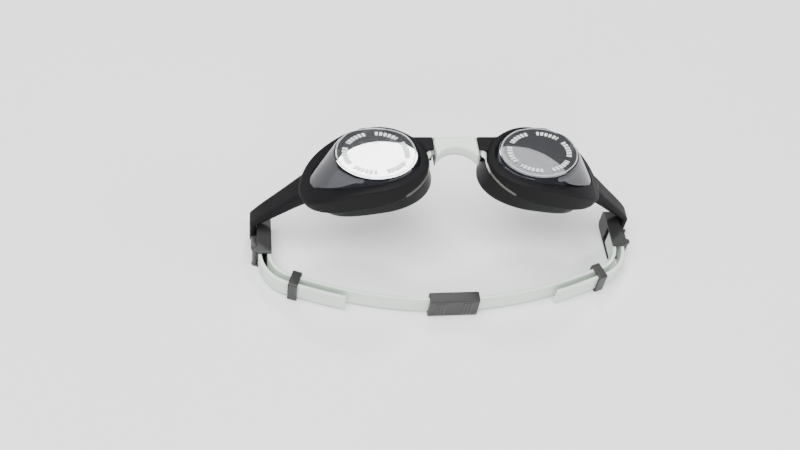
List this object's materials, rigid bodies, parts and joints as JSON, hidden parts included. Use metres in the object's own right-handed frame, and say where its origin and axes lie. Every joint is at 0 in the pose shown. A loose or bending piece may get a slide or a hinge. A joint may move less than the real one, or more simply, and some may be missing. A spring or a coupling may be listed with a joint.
{
  "type": "swim goggles",
  "caption": "Swim goggles with raised oval mirrored lenses, black rims and arms, soft seals, a pale nose bridge and an adjustable flat strap.",
  "frame": {"origin": "under the middle of the whole object, on the surface it lies on", "axes": "+X to the right looking at the lenses, +Y towards the top as worn, +Z the way the lenses look"},
  "size_m": [0.188, 0.0672, 0.0646],
  "materials": {
    "lens": "smoke tinted with a mirror coating",
    "film": "clear peel-off film",
    "frame": "soft satin black",
    "seal": "smooth black silicone",
    "bridge": "smooth pale mint silicone",
    "strap": "smooth pale mint silicone",
    "buckle": "fine-textured black plastic",
    "lever": "fine-textured black plastic",
    "steel": "turned stainless steel"
  },
  "bodies": {
    "eyepieces": {"nose_bridge": "bridge", "lens_right": "lens", "frame_right": "frame", "gasket_right": "seal", "swivel_pin_right": "buckle", "lens_left": "lens", "frame_left": "frame", "gasket_left": "seal", "swivel_pin_left": "buckle"},
    "right_film": {"protective_film_right": "film"},
    "right_buckle": {"buckle_body_right": "buckle", "roller_bar_right": "steel", "lever_pin_right": "steel", "strap_fold_right": "strap"},
    "right_lever": {"buckle_lever_right": "lever"},
    "right_strap": {"strap_right": "strap", "strap_tail_right": "strap"},
    "right_keeper": {"strap_keeper_right": "strap"},
    "left_film": {"protective_film_left": "film"},
    "left_buckle": {"buckle_body_left": "buckle", "roller_bar_left": "steel", "lever_pin_left": "steel", "strap_fold_left": "strap"},
    "left_lever": {"buckle_lever_left": "lever"},
    "left_strap": {"strap_left": "strap", "strap_tail_left": "strap", "rear_clip": "buckle"},
    "left_keeper": {"strap_keeper_left": "strap"}
  },
  "joints": [
    {"name": "right_film_lift", "type": "slide", "parent": "eyepieces", "child": "right_film", "axis": [0.0087, 0, 1], "range_m": [0, 0.012]},
    {"name": "right_swivel", "type": "hinge", "parent": "eyepieces", "child": "right_buckle", "pos_m": [0.091, 0.01405, 0.00625], "axis": [1, 0, 0], "range_deg": [-10, 110]},
    {"name": "right_lever_hinge", "type": "hinge", "parent": "right_buckle", "child": "right_lever", "pos_m": [0.09175, -0.00095, 0.00625], "axis": [0, 0, -1], "range_deg": [0, 70]},
    {"name": "right_stretch", "type": "slide", "parent": "right_buckle", "child": "right_strap", "axis": [0, -1, 0], "range_m": [0, 0.03], "stiffness_N_per_m": 60},
    {"name": "right_keeper_slide", "type": "slide", "parent": "right_strap", "child": "right_keeper", "axis": [-0.9397, -0.342, 0], "range_m": [0, 0.0078]},
    {"name": "left_film_lift", "type": "slide", "parent": "eyepieces", "child": "left_film", "axis": [-0.0087, 0, 1], "range_m": [0, 0.012]},
    {"name": "left_swivel", "type": "hinge", "parent": "eyepieces", "child": "left_buckle", "pos_m": [-0.091, 0.01405, 0.00625], "axis": [1, 0, 0], "range_deg": [-10, 110]},
    {"name": "left_lever_hinge", "type": "hinge", "parent": "left_buckle", "child": "left_lever", "pos_m": [-0.09175, -0.00095, 0.00625], "axis": [0, 0, 1], "range_deg": [0, 70]},
    {"name": "left_stretch", "type": "slide", "parent": "left_buckle", "child": "left_strap", "axis": [0, -1, 0], "range_m": [0, 0.03], "stiffness_N_per_m": 60},
    {"name": "left_keeper_slide", "type": "slide", "parent": "left_strap", "child": "left_keeper", "axis": [0.9397, -0.342, 0], "range_m": [0, 0.0078]}
  ],
  "couplings": [
    {"joint": "left_swivel", "follows": "right_swivel", "ratio": 1},
    {"joint": "left_stretch", "follows": "right_stretch", "ratio": 1}
  ]
}
